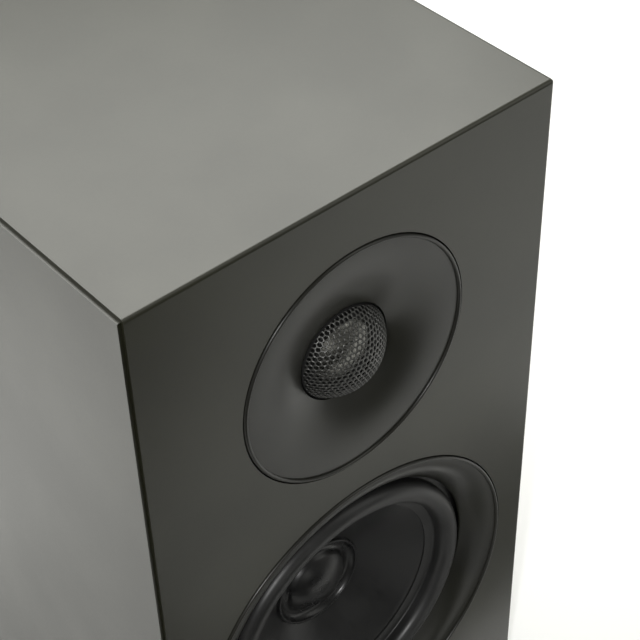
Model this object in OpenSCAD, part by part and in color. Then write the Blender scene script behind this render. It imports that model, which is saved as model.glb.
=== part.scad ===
// Two-way bookshelf loudspeaker: a closed-wall cabinet with a rear reflex port,
// a long-throw woofer behind a flared trim ring, and a dome tweeter behind a
// perforated metal cap in a shallow waveguide. Units are millimetres, +Z is up,
// and the front faces -Y. The origin is at the middle of the base, on the
// surface that the feet stand on.

/* [Cabinet] */
// outside width of the cabinet
cabinet_w = 180; // [176:1:200]
// outside height of the cabinet, without its feet
cabinet_h = 330; // [320:1:380]
// outside depth of the cabinet, from the baffle to the rear panel
cabinet_d = 260; // [250:1:320]
// thickness of the five plain panels
wall_t = 15; // [12:1:16]
// thickness of the front baffle
baffle_t = 22; // [22:1:28]
// radius of the cabinet's outer edges
edge_r = 1.4; // [1:0.2:4]
// thickness of the window brace between the two drivers
brace_t = 12; // [9:1:15]

/* [Feet] */
// height of the rubber feet
foot_h = 6; // [4:1:10]
// radius of the rubber feet
foot_r = 9; // [7:1:12]
// distance from the cabinet's sides to the centre of each foot
foot_inset = 22; // [16:1:30]

/* [Woofer] */
// distance from the cabinet's top to the woofer's centre
woofer_drop = 214; // [210:1:220]
// outside radius of the trim ring
trim_r = 76.5; // [76:0.5:77]
// radius of the trim ring's inner lip
trim_lip_r = 61.9; // [61.5:0.1:62.5]
// depth of that lip behind the baffle's face
trim_lip_depth = 7.9; // [7:0.1:8.5]
// radius of the roll surround's crest
roll_r = 55; // [54.9:0.1:55.6]
// radius of the roll's own half-round section
roll_section_r = 4.7; // [4.5:0.1:4.8]
// furthest the cone moves each way
woofer_travel = 4; // [2:0.5:5]
// number of windows in the basket
basket_windows = 8; // [4:1:8]
// number of screws that hold the basket
woofer_screw_count = 6; // [4:1:8]

/* [Tweeter] */
// distance from the cabinet's top to the tweeter's centre
tweeter_drop = 73; // [70:1:76]
// outside radius of the waveguide
waveguide_r = 49.15; // [48.5:0.05:50]
// radius of the waveguide's throat
throat_r = 20.2; // [19.9:0.1:21]
// depth of the throat's lip behind the baffle's face
throat_depth = 6.5; // [5.5:0.1:7]
// radius of the perforated cap
mesh_r = 18.4; // [18:0.1:19.2]
// rise of the perforated cap above its rim
mesh_rise = 11; // [9:0.5:11.5]
// radius of the aluminium dome
dome_r = 12.6; // [12.4:0.1:12.7]
// rise of the aluminium dome above its rim
dome_rise = 4.5; // [3.5:0.5:5]
// furthest the dome moves each way
tweeter_travel = 0.4; // [0.2:0.1:0.5]

/* [Port] */
// inside radius of the reflex port
port_r = 22; // [18:1:24]
// length of the port from its flange to its inner end
port_l = 110; // [60:5:120]

/* [Binding posts] */
// distance between the two binding posts, a standard three quarters of an inch
post_gap = 19; // [19:0.05:19.1]
// radius of the plug socket in each post, for a 4 mm plug
socket_r = 2; // [2:0.01:2.05]
// radius of the post's threaded stud
stud_r = 3; // [2.9:0.05:3.1]
// furthest a post's cap unscrews
cap_travel = 5; // [3:0.5:6]
// number of grip ribs round each cap
cap_ribs = 18; // [12:1:24]

/* [Hidden] */
$fn = 96;

// how far the perforated cap stands out of the baffle, and the rear flanges out
// of the rear panel; the cabinet is placed so that the whole length is centred
mesh_base_z = -7.2;
proud_front = mesh_base_z + mesh_rise;
flange_t = 2;
front_y = proud_front - (cabinet_d + proud_front + flange_t) / 2;
rear_y = front_y + cabinet_d;
top_z = foot_h + cabinet_h;
inner_x = cabinet_w / 2 - wall_t;
floor_z = foot_h + wall_t;
baffle_back_y = front_y + baffle_t;
rear_inner_y = rear_y - wall_t;
brace_z = top_z - (tweeter_drop + woofer_drop) / 2 + 6;

// heights along a driver's own axis: 0 is the baffle's face, + is outwards
seam = 0.5;
bead_w = 1.6;
bead_rise = 0.7;
trim_seat_z = -11;
basket_top_z = -11.5;
basket_flange_t = 2.2;
basket_r = 72;
gasket_t = 1.5;
basket_seat_z = basket_top_z - basket_flange_t - gasket_t;
woofer_hole_r = 62;
woofer_screw_r = 67.6;
roll_base_z = -10.9;
rubber_t = 0.6;
roll_lift = 2.2;
roll_flange_w = 3.5;
cone_rim_r = 50.3;
cone_edge_r = 46.3;
cone_edge_z = -12.5;
cone_slope = 0.53;
cone_t = 0.9;
cap_ring_r = 20.9;
cap_ring_in_r = 19.2;
cap_dome_r = 14;
cap_dome_rise = 5;
former_r = 12.55;
former_t = 0.3;
shelf_z = -42;
shelf_r = 44;
basket_floor_z = -56;
tag_strip_w = 12;
tag_gap = 7;
tag_strip_h = 8;
tag_strip_z = -40;
plate_t = 6;
woofer_magnet_t = 17;
pole_r = 12.1;
glue_gap = 0.05;

frame_seat_z = -9;
frame_t = 3;
tweeter_gasket_t = 0.8;
frame_r = 46.2;
tweeter_screw_r = 42.3;
tweeter_hole_r = 38;
tweeter_plate_z = frame_seat_z - frame_t;
tweeter_magnet_t = 10;
dome_base_z = -7.5;

port_z = top_z - tweeter_drop;
port_wall = 2.5;
flare_r = 12;
flange_r = 41;
cup_z = foot_h + 104;
cup_r = 30;
cup_wall = 2;
cup_depth = 25;
cup_floor_t = 3;
cup_screw_r = 37;
stud_top_z = -4.5;
stud_end_z = -50;
socket_l = 14.2;
washer_t = 1.5;
collar_t = 1.7;
collar_z = washer_t + collar_t - cup_depth;
cap_top_z = -1.5;
cap_r = 6.4;
insert_r = 5;
thread_gap = 0.05;

board_w = 112;
board_l = 92;
board_t = 1.6;
standoff_h = 7;
board_y = 20;
board_z = floor_z + standoff_h + board_t;
cable_r = 2.1;

// places children on the front, with +z outwards and the axis at a given drop
module on_front(drop) {
    translate([0, front_y, top_z - drop]) rotate([90, 0, 0]) children();
}

// places children on the rear, with +z outwards and the axis at a given height
module on_rear(height) {
    translate([0, rear_y, height]) rotate([90, 0, 180]) children();
}

// flat ring between two heights
module ring(r_out, r_in, z0, z1) {
    translate([0, 0, z0]) difference() {
        cylinder(r = r_out, h = z1 - z0);
        translate([0, 0, -1]) cylinder(r = r_in, h = z1 - z0 + 2);
    }
}

// evenly spaced copies round an axis
module around(count, r, first = 0) {
    for (i = [0:count - 1]) {
        rotate(first + i * 360 / count) translate([r, 0, 0]) children();
    }
}

// thin spherical dome standing on height z
module dome_shell(base_r, rise, t, z) {
    ball_r = (base_r * base_r + rise * rise) / (2 * rise);
    translate([0, 0, z]) intersection() {
        translate([0, 0, rise - ball_r]) difference() {
            sphere(r = ball_r);
            sphere(r = ball_r - t);
        }
        cylinder(r = base_r, h = rise + 1);
    }
}

// round rod from a to b
module rod(a, b, r) {
    v = b - a;
    l = norm(v);
    translate(a) rotate([0, acos(v[2] / l), atan2(v[1], v[0])])
        cylinder(r = r, h = l, $fn = 32);
}

// round cable along a list of points; each bend is a slightly larger ball
module cable(points, r) {
    for (i = [0:len(points) - 2]) {
        rod(points[i], points[i + 1], r);
    }
    for (i = [1:len(points) - 2]) {
        translate(points[i]) sphere(r = r * 1.08, $fn = 32);
    }
}

// pan head wood screw with its head's underside at z = 0, pointing down
module pan_screw(head_r, head_h, shank_r, l) {
    cylinder(r = head_r, h = head_h);
    translate([0, 0, -l]) cylinder(r = shank_r, h = l + 0.5);
    translate([0, 0, -l - 1.5]) cylinder(r1 = 0.3, r2 = shank_r, h = 1.5);
}

// ---------------------------------------------------------------- cabinet

module rounded_rect(w, h, r) {
    square([w - 2 * r, h], center = true);
    square([w, h - 2 * r], center = true);
    for (x = [-1, 1], y = [-1, 1]) {
        translate([x * (w / 2 - r), y * (h / 2 - r)]) circle(r = r, $fn = 32);
    }
}

// the whole cabinet as a solid block, its edges and corners rounded
module cabinet_block() {
    half = [cabinet_w / 2 - edge_r, cabinet_d / 2 - edge_r, cabinet_h / 2 - edge_r];
    translate([0, (front_y + rear_y) / 2, foot_h + cabinet_h / 2]) {
        for (grow = [[edge_r, 0, 0], [0, edge_r, 0], [0, 0, edge_r]]) {
            cube(2 * (half + grow), center = true);
        }
        for (a = [-1, 1], b = [-1, 1]) {
            translate([a * half[0], b * half[1], 0])
                cylinder(r = edge_r, h = 2 * half[2], center = true);
            translate([a * half[0], 0, b * half[2]]) rotate([90, 0, 0])
                cylinder(r = edge_r, h = 2 * half[1], center = true);
            translate([0, a * half[1], b * half[2]]) rotate([0, 90, 0])
                cylinder(r = edge_r, h = 2 * half[0], center = true);
            for (c = [-1, 1]) {
                translate([a * half[0], b * half[1], c * half[2]]) sphere(r = edge_r);
            }
        }
    }
}

// the part of the cabinet block between two corners
module panel(lo, hi) {
    intersection() {
        cabinet_block();
        translate(lo) cube(hi - lo);
    }
}

module front_baffle() {
    color("#4a4a44") difference() {
        panel([-cabinet_w, front_y - 1, 0], [cabinet_w, baffle_back_y, top_z + 1]);
        on_front(woofer_drop) {
            translate([0, 0, trim_seat_z]) cylinder(r = trim_r + seam, h = 30);
            translate([0, 0, basket_seat_z]) cylinder(r = basket_r + seam, h = 30);
            translate([0, 0, -baffle_t - 1]) cylinder(r = woofer_hole_r, h = 30);
            around(woofer_screw_count, woofer_screw_r, 30)
                translate([0, 0, -20]) cylinder(r = 1.6, h = 20, $fn = 32);
        }
        on_front(tweeter_drop) {
            translate([0, 0, frame_seat_z]) cylinder(r = waveguide_r + seam, h = 30);
            translate([0, 0, tweeter_plate_z - tweeter_gasket_t])
                cylinder(r = frame_r + seam, h = 30);
            translate([0, 0, -baffle_t - 1]) cylinder(r = tweeter_hole_r, h = 30);
            around(4, tweeter_screw_r, 45)
                translate([0, 0, -20]) cylinder(r = 1.5, h = 20, $fn = 32);
        }
    }
}

module top_panel() {
    color("#8b8c85")
        panel([-cabinet_w, baffle_back_y, top_z - wall_t], [cabinet_w, rear_y + 1, top_z + 1]);
}

module bottom_panel() {
    color("#8b8c85") difference() {
        panel([-cabinet_w, baffle_back_y, 0], [cabinet_w, rear_y + 1, floor_z]);
        standoff_places() translate([0, 0, floor_z - 9]) cylinder(r = 1.3, h = 10, $fn = 32);
    }
}

module left_panel() {
    color("#807e77")
        panel([-cabinet_w, baffle_back_y, floor_z], [-inner_x, rear_y + 1, top_z - wall_t]);
}

module right_panel() {
    color("#807e77")
        panel([inner_x, baffle_back_y, floor_z], [cabinet_w, rear_y + 1, top_z - wall_t]);
}

module rear_panel() {
    color("#807e77") difference() {
        translate([-inner_x, rear_inner_y, floor_z])
            cube([2 * inner_x, wall_t, cabinet_h - 2 * wall_t]);
        on_rear(port_z) translate([0, 0, -wall_t - 1]) cylinder(r = flange_r - 4, h = 40);
        on_rear(cup_z) {
            translate([0, 0, -wall_t - 1]) cylinder(r = cup_r + cup_wall + 0.5, h = 40);
            around(4, cup_screw_r, 45)
                translate([0, 0, -13]) cylinder(r = 1.5, h = 14, $fn = 32);
        }
    }
}

// horizontal brace with one large window for air and cables
module window_brace() {
    brace_l = rear_inner_y - baffle_back_y;
    color("#b08d5f") translate([0, (rear_inner_y + baffle_back_y) / 2, brace_z])
        linear_extrude(brace_t) difference() {
            square([2 * inner_x, brace_l], center = true);
            rounded_rect(2 * inner_x - 50, brace_l - 60, 12);
        }
}

// lining slabs on both side walls, above and below the brace
module damping_foam() {
    foam_t = 8;
    gap = 2;
    spans = [[floor_z + gap, brace_z - gap], [brace_z + brace_t + gap, top_z - wall_t - gap]];
    color("#3b3d42") for (side = [-1, 1], span = spans) {
        translate([side * (inner_x - foam_t / 2) - foam_t / 2, baffle_back_y + gap, span[0]])
            cube([foam_t, rear_inner_y - baffle_back_y - 2 * gap, span[1] - span[0]]);
    }
}

module rubber_feet() {
    color("#1b1b1b") for (x = [-1, 1], y = [front_y + foot_inset, rear_y - foot_inset]) {
        translate([x * (cabinet_w / 2 - foot_inset), y, 0]) {
            cylinder(r1 = foot_r - 1, r2 = foot_r, h = 1);
            translate([0, 0, 1]) cylinder(r = foot_r, h = foot_h - 1);
        }
    }
}

// ---------------------------------------------------------------- rear

// reflex port: straight tube with a quarter-round flare at the outer end
module port_tube() {
    flare = [for (i = [0:10]) let (a = i * 9)
        [port_r + flare_r * (1 - cos(a)), flange_t - flare_r + flare_r * sin(a)]];
    mouth_r = port_r + flare_r;
    color("#1d1d1d") on_rear(port_z) rotate_extrude() polygon(concat(
        [[port_r, -port_l]], flare, [
        [mouth_r + 1.5, flange_t],
        [flange_r - 0.5, flange_t],
        [flange_r, flange_t - 0.5],
        [flange_r, 0],
        [mouth_r, 0],
        [port_r + port_wall, -wall_t],
        [port_r + port_wall, -port_l]]));
}

// round dish with a floor for the two binding posts
module terminal_cup() {
    color("#1d1d1d") on_rear(cup_z) difference() {
        rotate_extrude() polygon([
            [0, -cup_depth],
            [cup_r - 1, -cup_depth],
            [cup_r, flange_t],
            [flange_r - 0.5, flange_t],
            [flange_r, flange_t - 0.5],
            [flange_r, 0],
            [cup_r + cup_wall, 0],
            [cup_r + cup_wall, -cup_depth - cup_floor_t],
            [0, -cup_depth - cup_floor_t]]);
        around(4, cup_screw_r, 45) {
            translate([0, 0, -1]) cylinder(r = 1.7, h = 4, $fn = 32);
            translate([0, 0, flange_t - 1.5]) cylinder(r1 = 1.7, r2 = 3.3, h = 1.6);
        }
        post_places() translate([0, 0, -cup_depth - 4]) cylinder(r = stud_r + 0.05, h = 5);
    }
}

// both post positions in the cup's own frame
module post_places() {
    for (side = [-1, 1]) {
        translate([side * post_gap / 2, 0, 0]) children();
    }
}

// one post position: side -1 is the black post, 1 is the red one
module at_post(side) {
    on_rear(cup_z) translate([side * post_gap / 2, 0, 0]) children();
}

module terminal_cup_screws() {
    color("#2b2b2b") on_rear(cup_z) around(4, cup_screw_r, 45) difference() {
        union() {
            translate([0, 0, flange_t - 1.5]) cylinder(r1 = 1.5, r2 = 3.05, h = 1.5);
            translate([0, 0, -12]) cylinder(r = 1.5, h = 13);
        }
        for (a = [0, 90]) {
            rotate(a) translate([-1.6, -0.3, flange_t - 0.9]) cube([3.2, 0.6, 1]);
        }
    }
}

// threaded studs, each with a collar, a plug socket and a cross hole for bare wire
module post_studs() {
    color("#c9a24a") on_rear(cup_z) post_places() difference() {
        union() {
            translate([0, 0, stud_end_z]) cylinder(r = stud_r, h = stud_top_z - stud_end_z);
            translate([0, 0, collar_z - collar_t]) cylinder(r = 6, h = collar_t);
        }
        translate([0, 0, stud_top_z - socket_l]) cylinder(r = socket_r, h = socket_l + 1);
        translate([0, 0, collar_z + 1.6]) rotate([90, 0, 0])
            cylinder(r = 1.25, h = 20, center = true, $fn = 32);
    }
}

module post_washer(side) {
    at_post(side) ring(8, stud_r + 0.05, -cup_depth, washer_t - cup_depth);
}

module post_washer_red() {
    color("#b3202a") post_washer(1);
}

module post_washer_black() {
    color("#161616") post_washer(-1);
}

// threaded metal core of a cap
module post_insert(side) {
    at_post(side) ring(insert_r, stud_r + thread_gap, collar_z + 0.1, -4.2);
}

module post_insert_red() {
    color("#c9a24a") post_insert(1);
}

module post_insert_black() {
    color("#c9a24a") post_insert(-1);
}

// ribbed plastic shell of a cap, with the plug's way in through its end
module post_cap(side) {
    skirt_z = collar_z + 0.4;
    taper_z = cap_top_z - 2.7;
    core_r = cap_r - 0.5;
    at_post(side) difference() {
        union() {
            translate([0, 0, skirt_z]) cylinder(r = cap_r, h = 1.6);
            translate([0, 0, skirt_z + 1]) cylinder(r = core_r, h = taper_z - skirt_z - 1);
            translate([0, 0, taper_z]) cylinder(r1 = core_r, r2 = core_r - 1.1, h = cap_top_z - taper_z);
            around(cap_ribs, cap_r - 0.6) translate([0, 0, skirt_z + 1])
                cylinder(r = 0.55, h = taper_z - skirt_z - 1.5, $fn = 16);
        }
        translate([0, 0, collar_z - 1])
            cylinder(r = insert_r + thread_gap, h = -4.1 - collar_z + 1);
        translate([0, 0, -10]) cylinder(r = socket_r + 0.4, h = 12);
    }
}

module post_cap_red() {
    color("#b3202a") post_cap(1);
}

module post_cap_black() {
    color("#161616") post_cap(-1);
}

// hexagon nuts that clamp the studs from inside
module post_nuts() {
    color("#c9a24a") on_rear(cup_z) post_places() difference() {
        translate([0, 0, -cup_depth - cup_floor_t - 4]) cylinder(r = 6.35, h = 4, $fn = 6);
        translate([0, 0, -cup_depth - cup_floor_t - 5]) cylinder(r = stud_r, h = 6);
    }
}

// solder lugs under the inner end of the studs, pointing down
module solder_lugs() {
    lug_z = -cup_depth - cup_floor_t - 5;
    color("#d0d0c8") on_rear(cup_z) post_places() translate([0, 0, lug_z]) difference() {
        union() {
            cylinder(r = 5.5, h = 1);
            translate([-2, -14, 0]) cube([4, 12, 1]);
        }
        translate([0, 0, -1]) cylinder(r = stud_r, h = 3);
        translate([0, -11.5, -1]) cylinder(r = 1, h = 3, $fn = 24);
    }
}

// ---------------------------------------------------------------- crossover

module standoff_places() {
    for (x = [-1, 1], y = [-1, 1]) {
        translate([x * (board_w / 2 - 6), board_y + y * (board_l / 2 - 6), 0]) children();
    }
}

module crossover_board() {
    color("#1f5a36") difference() {
        translate([-board_w / 2, board_y - board_l / 2, board_z - board_t])
            cube([board_w, board_l, board_t]);
        standoff_places() cylinder(r = 1.7, h = board_z + 1, $fn = 32);
    }
}

module board_standoffs() {
    color("#d8d4c8") standoff_places() ring(3.5, 1.7, floor_z, floor_z + standoff_h);
}

module board_screws() {
    color("#a8a8a8") standoff_places() translate([0, 0, board_z])
        pan_screw(2.8, 1.8, 1.3, standoff_h + board_t + 7);
}

// wound coil with flanged bobbin
module coil(r, h, hole_r) {
    difference() {
        union() {
            cylinder(r = r, h = 1.5);
            translate([0, 0, 1.5]) cylinder(r = r - 1.5, h = h - 3);
            translate([0, 0, h - 1.5]) cylinder(r = r, h = 1.5);
        }
        translate([0, 0, -1]) cylinder(r = hole_r, h = h + 2);
    }
}

module woofer_inductor() {
    color("#b5652a") translate([-28, board_y + 18, board_z]) coil(21, 18, 8);
}

module tweeter_inductor() {
    color("#b5652a") translate([26, board_y - 22, board_z]) coil(15, 14, 6);
}

// film capacitors lying on the board
module capacitors() {
    sizes = [[9, 30, 26, 24], [7, 24, 24, 4], [6, 20, -30, -24]];
    color("#c7b37a") for (c = sizes) {
        translate([c[2] - c[1] / 2, board_y + c[3], board_z + c[0]]) rotate([0, 90, 0])
            cylinder(r = c[0], h = c[1]);
    }
}

// ceramic power resistors standing clear of each other on the board
module resistors() {
    color("#e4e0d6") for (i = [0, 1]) {
        translate([-42 + i * 2, board_y - 15 - i * 28, board_z]) cube([22, 9, 9]);
    }
}

module input_cable() {
    lug_y = rear_y - cup_depth - cup_floor_t - 5;
    color("#2a2a2c") cable([
        [0, lug_y - 2.5, cup_z - 12],
        [0, lug_y - 14, cup_z - 20],
        [6, rear_inner_y - 40, 60],
        [10, board_y + 37, board_z + 9],
        [10, board_y + 37, board_z]], cable_r);
}

module woofer_cable() {
    color("#2a2a2c") cable([
        [50, board_y + 6, board_z],
        [50, board_y + 6, board_z + 10],
        [62, front_y + 60, 90],
        [60.3, front_y + 38, top_z - woofer_drop]], cable_r);
}

module tweeter_cable() {
    tab_z = top_z - tweeter_drop - 28.5;
    color("#2a2a2c") cable([
        [-50, board_y + 8, board_z],
        [-50, board_y + 8, board_z + 8],
        [-58, board_y + 6, board_z + 20],
        [-58, board_y, brace_z - 20],
        [-44, board_y - 2, brace_z - 6],
        [-40, board_y - 4, brace_z + brace_t + 6],
        [-2, front_y + 52, tab_z],
        [-2, front_y + 42, tab_z]], cable_r);
}

// ---------------------------------------------------------------- woofer

// flared front profile: a power curve from the rim at r0 down to the lip at r1
function flare_points(r0, r1, depth, steps) = [for (i = [0:steps])
    let (s = i / steps) [r0 - (r0 - r1) * s, -0.25 - (depth - 0.25) * pow(s, 2.1)]];

// outer bead of a trim piece, as the last points of its profile
function bead_points(r) = [for (i = [0:8]) let (a = 180 - i * 22.5)
    [r - bead_w / 2 + bead_w / 2 * cos(a), -0.25 + (bead_rise + 0.25) * sin(a)]];

function reverse(list) = [for (i = [len(list) - 1:-1:0]) list[i]];

module woofer_trim_ring() {
    front = flare_points(trim_r - bead_w, trim_lip_r, trim_lip_depth, 14);
    skin = 1.8;
    back = [for (p = front) if (p[0] < trim_r - 4) [p[0] + 1.2, p[1] - skin]];
    color("#232323") on_front(woofer_drop) rotate_extrude() polygon(concat(
        reverse(front),
        bead_points(trim_r),
        [[trim_r, trim_seat_z], [trim_r - 2.2, trim_seat_z], [trim_r - 2.2, -2.6]],
        back));
}

module woofer_basket() {
    wall = 1.5;
    leg_top = basket_top_z - basket_flange_t;
    color("#2e2f31") on_front(woofer_drop) difference() {
        rotate_extrude() polygon([
            [60, basket_top_z],
            [basket_r, basket_top_z],
            [basket_r, leg_top],
            [60.6, leg_top],
            [shelf_r + 3 + wall, shelf_z],
            [shelf_r + 3 + wall, shelf_z - wall],
            [38, shelf_z - wall],
            [36, basket_floor_z + wall],
            [36, basket_floor_z],
            [15, basket_floor_z],
            [15, basket_floor_z + wall],
            [34.5, basket_floor_z + wall],
            [36.5, shelf_z - wall / 2],
            [37.5, shelf_z],
            [shelf_r + 2.6, shelf_z],
            [59, leg_top]]);
        around(basket_windows, 50, 180 / basket_windows)
            translate([-12, -12, shelf_z + 3]) cube([24, 24, 20]);
        around(woofer_screw_count, woofer_screw_r, 30)
            translate([0, 0, leg_top - 1]) cylinder(r = 2, h = 5, $fn = 32);
        translate([44, -tag_strip_w / 2, tag_strip_z]) cube([12, tag_strip_w, tag_strip_h]);
    }
}

module woofer_gasket() {
    color("#101010") on_front(woofer_drop) difference() {
        ring(basket_r, woofer_hole_r + 0.5, basket_seat_z, basket_seat_z + gasket_t);
        around(woofer_screw_count, woofer_screw_r, 30)
            translate([0, 0, -20]) cylinder(r = 2, h = 10, $fn = 32);
    }
}

module woofer_screws() {
    color("#1a1a1a") on_front(woofer_drop) around(woofer_screw_count, woofer_screw_r, 30)
        translate([0, 0, basket_top_z]) pan_screw(3.4, 2, 1.6, 7);
}

// tag strip in a window of the basket's side, with two tags
module woofer_terminals() {
    color("#b88b4a") on_front(woofer_drop) translate([50, 0, tag_strip_z]) {
        translate([0, -tag_strip_w / 2, 0]) cube([2, tag_strip_w, tag_strip_h]);
        for (y = [-tag_gap / 2, tag_gap / 2]) {
            translate([-2.1, y - 1.4, 1]) cube([10, 2.8, 0.8]);
        }
    }
}

module woofer_top_plate() {
    color("#8d9094") on_front(woofer_drop)
        ring(40, former_r + 1.35, basket_floor_z - plate_t, basket_floor_z);
}

module woofer_magnet() {
    magnet_top = basket_floor_z - plate_t;
    color("#33353a") on_front(woofer_drop)
        ring(45, 22, magnet_top - woofer_magnet_t, magnet_top);
}

module woofer_yoke() {
    plate_top = basket_floor_z - plate_t - woofer_magnet_t;
    color("#8d9094") on_front(woofer_drop) difference() {
        union() {
            translate([0, 0, plate_top - plate_t]) cylinder(r = 42, h = plate_t);
            translate([0, 0, plate_top - 1])
                cylinder(r = pole_r, h = basket_floor_z + 0.5 - plate_top + 1);
        }
        translate([0, 0, plate_top - plate_t - 1]) cylinder(r = 4, h = 60);
    }
}

// corrugated disc between the coil former and the basket's shelf
module woofer_spider() {
    inner = former_r + former_t + 0.1;
    waves = 5;
    steps = 30;
    line = [for (i = [0:steps]) let (s = i / steps)
        [inner + (39 - inner) * s, shelf_z + 0.5 - 1.1 * sin(s * waves * 360)
        * (s > 0.02 && s < 0.98 ? 1 : 0)]];
    color("#c8a45c") on_front(woofer_drop) rotate_extrude() polygon(concat(
        [for (p = line) [p[0], p[1] + 0.3]],
        [[shelf_r, shelf_z + 0.8], [shelf_r, shelf_z], [39, shelf_z]],
        reverse([for (p = line) if (p[0] < 39) [p[0], p[1] - 0.3]])));
}

// rubber roll: half-round crest on straight flanks, with its two glue flanges
module woofer_surround() {
    crest_z = roll_base_z + roll_lift;
    in_r = roll_r - roll_section_r;
    out_r = roll_r + roll_section_r;
    color("#1c1c1c") on_front(woofer_drop) rotate_extrude() {
        intersection() {
            translate([roll_r, crest_z]) difference() {
                circle(r = roll_section_r);
                circle(r = roll_section_r - rubber_t);
            }
            translate([in_r, crest_z]) square([2 * roll_section_r, roll_section_r]);
        }
        translate([out_r - rubber_t, roll_base_z - rubber_t])
            square([rubber_t, roll_lift + rubber_t]);
        translate([out_r - rubber_t, roll_base_z - rubber_t])
            square([rubber_t + roll_flange_w, rubber_t]);
        polygon([
            [in_r + rubber_t, crest_z],
            [in_r, crest_z],
            [in_r, roll_base_z],
            [cone_edge_r, cone_edge_z + rubber_t],
            [cone_edge_r, cone_edge_z],
            [in_r + rubber_t, roll_base_z - rubber_t]]);
    }
}

// flexible braided leads from the tags to the cone's back
module woofer_tinsel_leads() {
    color("#a8794a") on_front(woofer_drop) for (y = [-tag_gap / 2, tag_gap / 2]) {
        cable([
            [47.2, y, -38.6],
            [42, y, -33],
            [34, y, -33],
            [26, y, -26.5]], 0.7);
    }
}

// height of the cone's front face at radius r
function cone_z(r) = cone_edge_z - glue_gap - cone_slope * (cone_edge_r - r);

module woofer_cone() {
    neck_r = former_r + former_t;
    color("#161616") on_front(woofer_drop) rotate_extrude() polygon([
        [cone_rim_r, basket_top_z - 0.15],
        [cone_edge_r, cone_z(cone_edge_r)],
        [neck_r, cone_z(neck_r)],
        [neck_r, cone_z(neck_r) - 4],
        [neck_r + 0.5, cone_z(neck_r) - 4],
        [neck_r + 0.8, cone_z(neck_r + 0.8) - cone_t],
        [cone_edge_r, cone_z(cone_edge_r) - cone_t],
        [cone_rim_r, basket_top_z - 0.15 - cone_t]]);
}

// centre cap: raised rim, shallow gutter and a low dome
module woofer_dust_cap() {
    t = 0.6;
    rim_z = cone_z(cap_ring_r) + glue_gap;
    base_z = -25.4;
    ball_r = (cap_dome_r * cap_dome_r + cap_dome_rise * cap_dome_rise) / (2 * cap_dome_rise);
    dome = [for (i = [0:8]) let (r = cap_dome_r * i / 8)
        [r, base_z + sqrt(ball_r * ball_r - r * r) - (ball_r - cap_dome_rise)]];
    color("#161616") on_front(woofer_drop) rotate_extrude() polygon(concat(dome, [
        [15.2, -26.5],
        [16.6, -27],
        [18, -26.7],
        [cap_ring_in_r, -26],
        [cap_ring_in_r + 0.3, rim_z + 0.9],
        [cap_ring_r - 0.3, rim_z + 0.9],
        [cap_ring_r, rim_z],
        [cap_ring_in_r, cone_z(cap_ring_in_r) + glue_gap],
        [18, -26.7 - t],
        [16.6, -27 - t],
        [15.2, -26.5 - t]],
        reverse([for (p = dome) [p[0], p[1] - t]])));
}

module woofer_coil_former() {
    color("#b9b3a0") on_front(woofer_drop)
        ring(former_r + former_t, former_r, -67, cone_z(former_r) + 1);
}

module woofer_voice_coil() {
    color("#b5652a") on_front(woofer_drop)
        ring(former_r + former_t + 0.55, former_r + former_t, -66, -52);
}

// ---------------------------------------------------------------- tweeter

module tweeter_waveguide() {
    front = flare_points(waveguide_r - bead_w, throat_r, throat_depth, 20);
    skin = 2;
    back = [for (p = front) if (p[0] < waveguide_r - 4 && p[0] > throat_r + 2)
        [p[0], p[1] - skin]];
    color("#242424") on_front(tweeter_drop) rotate_extrude() polygon(concat(
        reverse(front),
        bead_points(waveguide_r),
        [[waveguide_r, frame_seat_z], [waveguide_r - 2.2, frame_seat_z],
        [waveguide_r - 2.2, -2.4]],
        back,
        [[throat_r + 2, frame_seat_z], [throat_r, frame_seat_z]]));
}

// domed protective cap; its perforation is modelled as a plain skin
module tweeter_mesh() {
    color("#5a5b5c") on_front(tweeter_drop) {
        dome_shell(mesh_r, mesh_rise, 0.5, mesh_base_z);
        ring(mesh_r, mesh_r - 0.5, frame_seat_z, mesh_base_z);
        ring(throat_r - 0.2, mesh_r - 0.5, frame_seat_z, frame_seat_z + 0.5);
    }
}

module tweeter_frame() {
    color("#202020") on_front(tweeter_drop) difference() {
        ring(frame_r, 17.6, tweeter_plate_z, frame_seat_z);
        around(4, tweeter_screw_r, 45)
            translate([0, 0, -20]) cylinder(r = 1.9, h = 20, $fn = 32);
    }
}

module tweeter_gasket() {
    color("#101010") on_front(tweeter_drop) difference() {
        ring(frame_r, tweeter_hole_r + 0.5, tweeter_plate_z - tweeter_gasket_t,
            tweeter_plate_z);
        around(4, tweeter_screw_r, 45)
            translate([0, 0, -20]) cylinder(r = 1.9, h = 20, $fn = 32);
    }
}

module tweeter_screws() {
    color("#1a1a1a") on_front(tweeter_drop) around(4, tweeter_screw_r, 45)
        translate([0, 0, frame_seat_z]) pan_screw(3, 1.8, 1.5, 9);
}

module tweeter_top_plate() {
    color("#8d9094") on_front(tweeter_drop)
        ring(32, 13.45, tweeter_plate_z - 4, tweeter_plate_z);
}

module tweeter_magnet() {
    magnet_top = tweeter_plate_z - 4;
    color("#33353a") on_front(tweeter_drop)
        ring(36, 17, magnet_top - tweeter_magnet_t, magnet_top);
}

module tweeter_yoke() {
    plate_top = tweeter_plate_z - 4 - tweeter_magnet_t;
    color("#8d9094") on_front(tweeter_drop) difference() {
        union() {
            translate([0, 0, plate_top - 4]) cylinder(r = 33, h = 4);
            translate([0, 0, plate_top - 1])
                cylinder(r = pole_r, h = tweeter_plate_z - 0.2 - plate_top + 1);
        }
        translate([0, 0, plate_top - 5]) cylinder(r = 4, h = 30);
    }
}

// closed cup that takes the air behind the dome
module tweeter_rear_chamber() {
    chamber_top = tweeter_plate_z - 8 - tweeter_magnet_t;
    color("#202020") on_front(tweeter_drop) difference() {
        translate([0, 0, chamber_top - 18]) cylinder(r = 24, h = 18);
        translate([0, 0, chamber_top - 16]) cylinder(r = 22, h = 17);
    }
}

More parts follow.
